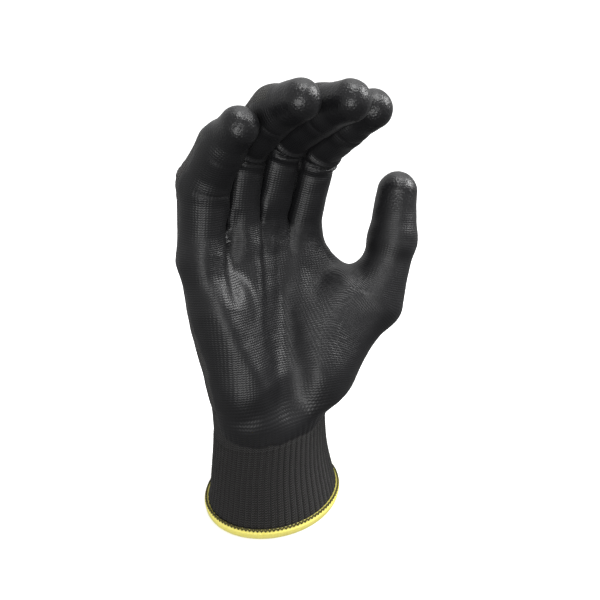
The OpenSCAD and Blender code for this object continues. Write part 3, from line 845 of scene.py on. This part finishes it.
# ---------------------------------------------------------------------------
# Rubber threads laid in behind the ribs: off-white covered rubber that draws the cuff in.
def tube(name, path, radius, sides, material, closed=True):
    """A round thread along a closed path."""
    along = np.roll(path, -1, axis=0) - np.roll(path, 1, axis=0)
    along /= np.linalg.norm(along, axis=1)[:, None]
    side = np.cross(along, (0, 0, 1.0))
    side /= np.linalg.norm(side, axis=1)[:, None]
    other = np.cross(side, along)
    turns = np.arange(sides) * 2 * math.pi / sides
    ring = path[:, None] + radius * (np.cos(turns)[None, :, None] * side[:, None]
                                     + np.sin(turns)[None, :, None] * other[:, None])
    n = len(path)
    i, j = np.meshgrid(np.arange(n), np.arange(sides), indexing="ij")
    faces = np.stack([i * sides + j, i * sides + (j + 1) % sides,
                      (i + 1) % n * sides + (j + 1) % sides,
                      (i + 1) % n * sides + j], axis=-1).reshape(-1, 4)
    mesh = bpy.data.meshes.new(name)
    mesh.from_pydata((ring.reshape(-1, 3) * 0.001).tolist(), [], faces.tolist())
    work = bmesh.new()
    work.from_mesh(mesh)
    bmesh.ops.recalc_face_normals(work, faces=work.faces)
    work.to_mesh(mesh)
    work.free()
    mesh.polygons.foreach_set("use_smooth", np.ones(len(faces), bool))
    mesh.materials.append(material)
    made = bpy.data.objects.new(name, mesh)
    link(made)
    return made


covered_rubber, tree, shader = new_material("covered_rubber_thread")
twist = add(tree, "ShaderNodeTexNoise", None, {"Scale": 900.0, "Detail": 2.0})
place_node = add(tree, "ShaderNodeTexCoord")
tree.links.new(place_node.outputs["Object"], twist.inputs["Vector"])
wound = add(tree, "ShaderNodeMix", {"data_type": "RGBA"},
            {0: twist.outputs[0], 6: linear("#b9b4a6"), 7: linear("#e2ded2")})
tree.links.new(wound.outputs[2], shader.inputs["Base Color"])
shader.inputs["Roughness"].default_value = 0.75


def cuff_path(z, inset, count):
    t = np.arange(count) * 2 * math.pi / count
    half_x, half_y = cuff_half(z)
    x, y, turn = (half_x - inset) * np.cos(t), (half_y - inset) * np.sin(t), TWIST * z / CUFF_TOP
    lean = CUFF_LEAN * smoothstep(4, 34, z)
    return np.column_stack([x * np.cos(turn) - y * np.sin(turn) + lean[0],
                            x * np.sin(turn) + y * np.cos(turn) + lean[1], np.full(count, z)])


low_ring, high_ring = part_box("cuff_elastic")
for k in range(6):
    z = (low_ring[2] + (high_ring[2] - low_ring[2]) * (0.02 + 0.96 * k / 5)) * 1000
    path = cuff_path(z, KNIT_THICK + 0.55, 240)
    path[:, 2] += 0.18 * np.sin(np.arange(240) * 2 * math.pi * 30 / 240)
    thread = tube(f"rubber_thread_{k + 1}", path, 0.32, 8, covered_rubber)
    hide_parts("cuff_elastic")
    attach(thread, "cuff")

# ---------------------------------------------------------------------------
# The hem. Bright yellow polyester thread wrapped closely over the raw edge on an overlock machine,
# 5 mm deep, with a dark catching thread that scallops along its upper edge.
hem_thread, tree, shader = new_material("yellow_overlock_thread")
place_node = add(tree, "ShaderNodeTexCoord")
fuzz = add(tree, "ShaderNodeTexNoise", None, {"Scale": 700.0, "Detail": 3.0})
tree.links.new(place_node.outputs["Object"], fuzz.inputs["Vector"])
dyed = add(tree, "ShaderNodeMix", {"data_type": "RGBA"},
           {0: fuzz.outputs[0], 6: linear("#efe257"), 7: linear("#fff796")})
tree.links.new(dyed.outputs[2], shader.inputs["Base Color"])
relief = add(tree, "ShaderNodeBump", None, {"Strength": 0.4, "Distance": 0.0002,
                                            "Height": fuzz.outputs[0]})
tree.links.new(relief.outputs[0], shader.inputs["Normal"])
shader.inputs["Roughness"].default_value = 0.6
shader.inputs["Sheen Weight"].default_value = 0.3

catching_thread, tree, shader = new_material("olive_catching_thread")
place_node = add(tree, "ShaderNodeTexCoord")
fuzz = add(tree, "ShaderNodeTexNoise", None, {"Scale": 600.0, "Detail": 2.0})
tree.links.new(place_node.outputs["Object"], fuzz.inputs["Vector"])
dyed = add(tree, "ShaderNodeMix", {"data_type": "RGBA"},
           {0: fuzz.outputs[0], 6: linear("#2b2812"), 7: linear("#565022")})
tree.links.new(dyed.outputs[2], shader.inputs["Base Color"])
shader.inputs["Roughness"].default_value = 0.8

# the wraps: one thread loop set out along the cuff's edge, close enough to touch
wraps = bpy.data.node_groups.new("overlock_wraps", "GeometryNodeTree")
for label, kind, value in (("Wraps", "NodeSocketInt", 280),
                           ("Half width", "NodeSocketFloat", 0.0363),
                           ("Half depth", "NodeSocketFloat", 0.0303),
                           ("Height", "NodeSocketFloat", 0.0052),
                           ("Thickness", "NodeSocketFloat", 0.0026),
                           ("Lean", "NodeSocketFloat", 0.16),
                           ("Thread", "NodeSocketFloat", 0.0005)):
    wraps.interface.new_socket(label, in_out="INPUT", socket_type=kind).default_value = value
wraps.interface.new_socket("Geometry", in_out="OUTPUT", socket_type="NodeSocketGeometry")
given = add(wraps, "NodeGroupInput")
edge = add(wraps, "GeometryNodeCurvePrimitiveCircle", None, {"Resolution": 96, "Radius": 1.0})
scale = add(wraps, "ShaderNodeCombineXYZ", None, {0: given.outputs["Half width"],
                                                  1: given.outputs["Half depth"], 2: 1.0})
middle = add(wraps, "ShaderNodeMath", {"operation": "MULTIPLY"},
             {0: given.outputs["Height"], 1: 0.5})
lift = add(wraps, "ShaderNodeCombineXYZ", None, {2: middle.outputs[0]})
oval = add(wraps, "GeometryNodeTransform", None, {"Geometry": edge.outputs[0],
                                                  "Translation": lift.outputs[0],
                                                 "Scale": scale.outputs[0]})
spots = add(wraps, "GeometryNodeCurveToPoints", {"mode": "COUNT"}, {"Curve": oval.outputs[0],
                                                                   "Count": given.outputs["Wraps"]})
slim = add(wraps, "ShaderNodeMath", {"operation": "SUBTRACT"},
           {0: given.outputs["Thickness"], 1: given.outputs["Thread"]})
tall = add(wraps, "ShaderNodeMath", {"operation": "SUBTRACT"},
           {0: given.outputs["Height"], 1: given.outputs["Thread"]})
loop = add(wraps, "GeometryNodeCurvePrimitiveQuadrilateral", None,
           {"Width": slim.outputs[0], "Height": tall.outputs[0]})
corner = add(wraps, "ShaderNodeMath", {"operation": "MULTIPLY"}, {0: slim.outputs[0], 1: 0.42})
loop_oval = add(wraps, "GeometryNodeFilletCurve", {"mode": "POLY"},
                {"Curve": loop.outputs[0], "Radius": corner.outputs[0], "Count": 2})
thread_round = add(wraps, "GeometryNodeCurvePrimitiveCircle", None,
                   {"Resolution": 5, "Radius": given.outputs["Thread"]})
lean_turn = add(wraps, "ShaderNodeCombineXYZ", None, {2: given.outputs["Lean"]})
leaning = add(wraps, "GeometryNodeTransform", None,
              {"Geometry": loop_oval.outputs[0], "Rotation": lean_turn.outputs[0]})
wrap = add(wraps, "GeometryNodeCurveToMesh", None,
           {"Curve": leaning.outputs[0], "Profile Curve": thread_round.outputs[0]})
laid = add(wraps, "GeometryNodeInstanceOnPoints", None,
           {"Points": spots.outputs[0], "Instance": wrap.outputs[0],
                                                        "Rotation": spots.outputs["Rotation"]})
real = add(wraps, "GeometryNodeRealizeInstances", None, {0: laid.outputs[0]})
smooth = add(wraps, "GeometryNodeSetShadeSmooth", None, {0: real.outputs[0]})
finish = add(wraps, "GeometryNodeSetMaterial", None,
             {"Geometry": smooth.outputs[0], "Material": hem_thread})
add(wraps, "NodeGroupOutput", None, {0: finish.outputs[0]})

holder = bpy.data.objects.new("holder", bpy.data.meshes.new("holder"))
link(holder)
modifier = holder.modifiers.new("wraps", "NODES")
modifier.node_group = wraps
for item in wraps.interface.items_tree:
    if item.in_out == "INPUT":
        modifier[item.identifier] = item.default_value
made = bpy.data.meshes.new_from_object(holder.evaluated_get(bpy.context.evaluated_depsgraph_get()))
bpy.data.objects.remove(holder)
hem_wraps = bpy.data.objects.new("hem_wraps", made)
link(hem_wraps)
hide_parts("hem_binding")
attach(hem_wraps, "cuff")

SCALLOPS = 108
t = np.arange(SCALLOPS * 8) * 2 * math.pi / (SCALLOPS * 8)
arch = np.abs(np.sin(t * SCALLOPS / 2))
path = np.column_stack([(37.35 - 0.3 * arch) * np.cos(t), (31.35 - 0.3 * arch) * np.sin(t),
                        5.2 + 1.0 * arch])
scallops = tube("hem_scallops", path, 0.45, 6, catching_thread)
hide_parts("hem_stitches")
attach(scallops, "cuff")
